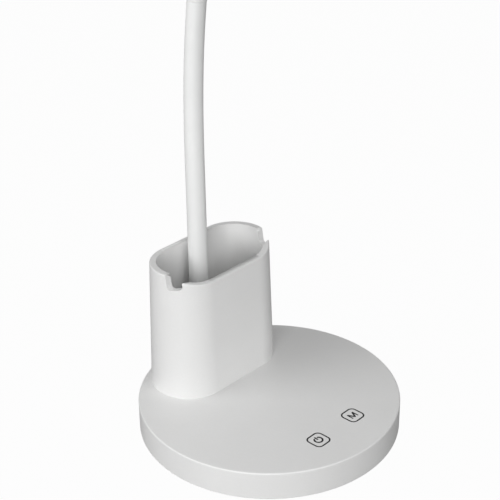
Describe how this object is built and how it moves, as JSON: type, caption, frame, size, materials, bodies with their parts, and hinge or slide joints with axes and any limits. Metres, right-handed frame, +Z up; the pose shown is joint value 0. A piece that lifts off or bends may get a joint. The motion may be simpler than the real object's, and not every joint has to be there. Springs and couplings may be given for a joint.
{
  "type": "desk lamp with pen cup base",
  "caption": "Desk lamp: round weighted base with two touch buttons, open pen cup with a phone slot, bendable neck and flat oblong LED head.",
  "frame": {"origin": "middle of the foot pad's underside, on the desk", "axes": "+Z up, the user's side is -Y, +X to the user's right as they face the lamp"},
  "size_m": [0.154, 0.193, 0.3041],
  "materials": {
    "housing_white": "satin white moulded plastic, fine texture",
    "sleeve_white": "smooth white silicone sleeve",
    "diffuser_opal": "opal light-spreading plastic",
    "foot_grey": "dark grey closed-cell foam",
    "steel": "zinc-plated steel",
    "neck_steel": "coiled neck core, light metal",
    "board_green": "green circuit board lacquer",
    "chip_black": "black moulded chips",
    "foam_black": "black conductive foam",
    "inlet_black": "black plastic socket body",
    "contact_brass": "nickel-free brass contact",
    "lead_jacket": "pale insulated wire",
    "led_board_white": "white-lacquered aluminium board",
    "led_yellow": "phosphor-filled LED tops"
  },
  "bodies": {
    "base": {"base_cover": "housing_white", "base_floor": "housing_white", "foot_pad": "foot_grey", "ballast_plate": "steel", "base_screws": "steel", "control_board": "board_green", "board_components": "chip_black", "board_screws": "steel", "touch_foams": "foam_black", "power_inlet": "inlet_black", "power_inlet_pin": "contact_brass", "power_lead": "lead_jacket", "neck_lead": "lead_jacket", "cup": "housing_white", "cup_screws": "steel", "neck_post": "steel", "post_sleeve": "sleeve_white", "neck_washer": "steel", "neck_nut": "steel"},
    "neck_link_01": {"neck_link_01": "neck_steel"},
    "neck_link_02": {"neck_link_02": "neck_steel"},
    "neck_link_03": {"neck_link_03": "neck_steel"},
    "neck_link_04": {"neck_link_04": "neck_steel"},
    "neck_link_05": {"neck_link_05": "neck_steel"},
    "neck_link_06": {"neck_link_06": "neck_steel"},
    "neck_link_07": {"neck_link_07": "neck_steel"},
    "neck_link_08": {"neck_link_08": "neck_steel"},
    "neck_link_09": {"neck_link_09": "neck_steel"},
    "neck_link_10": {"neck_link_10": "neck_steel"},
    "neck_link_11": {"neck_link_11": "neck_steel"},
    "head": {"head_stem": "housing_white", "head_shell": "housing_white", "head_frame": "housing_white", "diffuser": "diffuser_opal", "led_board": "led_board_white", "leds": "led_yellow", "led_board_screws": "steel", "retaining_ring": "steel", "head_lead": "lead_jacket"}
  },
  "joints": [
    {"name": "neck_lower_bend", "type": "hinge", "parent": "base", "child": "neck_link_01", "pos_m": [0, 0.0566, 0.106], "axis": [1, 0, 0], "range_deg": [-13, 13]},
    {"name": "neck_lower_side_bend", "type": "hinge", "parent": "neck_link_01", "child": "neck_link_02", "pos_m": [0, 0.0566, 0.1183], "axis": [0, 1, 0], "range_deg": [-12, 12]},
    {"name": "neck_bend_03", "type": "hinge", "parent": "neck_link_02", "child": "neck_link_03", "pos_m": [0, 0.0566, 0.1306], "axis": [1, 0, 0], "range_deg": [-13, 13]},
    {"name": "neck_side_bend_04", "type": "hinge", "parent": "neck_link_03", "child": "neck_link_04", "pos_m": [0, 0.0566, 0.1429], "axis": [0, 1, 0], "range_deg": [-12, 12]},
    {"name": "neck_bend_05", "type": "hinge", "parent": "neck_link_04", "child": "neck_link_05", "pos_m": [0, 0.0566, 0.1552], "axis": [1, 0, 0], "range_deg": [-13, 13]},
    {"name": "neck_side_bend_06", "type": "hinge", "parent": "neck_link_05", "child": "neck_link_06", "pos_m": [0, 0.0565, 0.1675], "axis": [0, 0.9998, 0.0213], "range_deg": [-12, 12]},
    {"name": "neck_upper_bend", "type": "hinge", "parent": "neck_link_06", "child": "neck_link_07", "pos_m": [0, 0.05624, 0.1798], "axis": [1, 0, 0], "range_deg": [-13, 13]},
    {"name": "neck_upper_side_bend", "type": "hinge", "parent": "neck_link_07", "child": "neck_link_08", "pos_m": [0, 0.05578, 0.19209], "axis": [0, 0.9984, 0.0562], "range_deg": [-12, 12]},
    {"name": "neck_bend_09", "type": "hinge", "parent": "neck_link_08", "child": "neck_link_09", "pos_m": [0, 0.05509, 0.20437], "axis": [1, 0, 0], "range_deg": [-13, 13]},
    {"name": "neck_side_bend_10", "type": "hinge", "parent": "neck_link_09", "child": "neck_link_10", "pos_m": [0, 0.05414, 0.21663], "axis": [0, 0.9951, 0.099], "range_deg": [-12, 12]},
    {"name": "neck_bend_11", "type": "hinge", "parent": "neck_link_10", "child": "neck_link_11", "pos_m": [0, 0.05292, 0.22887], "axis": [1, 0, 0], "range_deg": [-13, 13]},
    {"name": "neck_side_bend_12", "type": "hinge", "parent": "neck_link_11", "child": "head", "pos_m": [0, 0.05141, 0.24108], "axis": [0, 0.989, 0.1478], "range_deg": [-12, 12]}
  ],
  "couplings": [
    {"joint": "neck_bend_03", "follows": "neck_lower_bend", "ratio": 1},
    {"joint": "neck_side_bend_04", "follows": "neck_lower_side_bend", "ratio": 1},
    {"joint": "neck_bend_05", "follows": "neck_lower_bend", "ratio": 1},
    {"joint": "neck_side_bend_06", "follows": "neck_lower_side_bend", "ratio": 1},
    {"joint": "neck_bend_09", "follows": "neck_upper_bend", "ratio": 1},
    {"joint": "neck_side_bend_10", "follows": "neck_upper_side_bend", "ratio": 1},
    {"joint": "neck_bend_11", "follows": "neck_upper_bend", "ratio": 1},
    {"joint": "neck_side_bend_12", "follows": "neck_upper_side_bend", "ratio": 1}
  ]
}
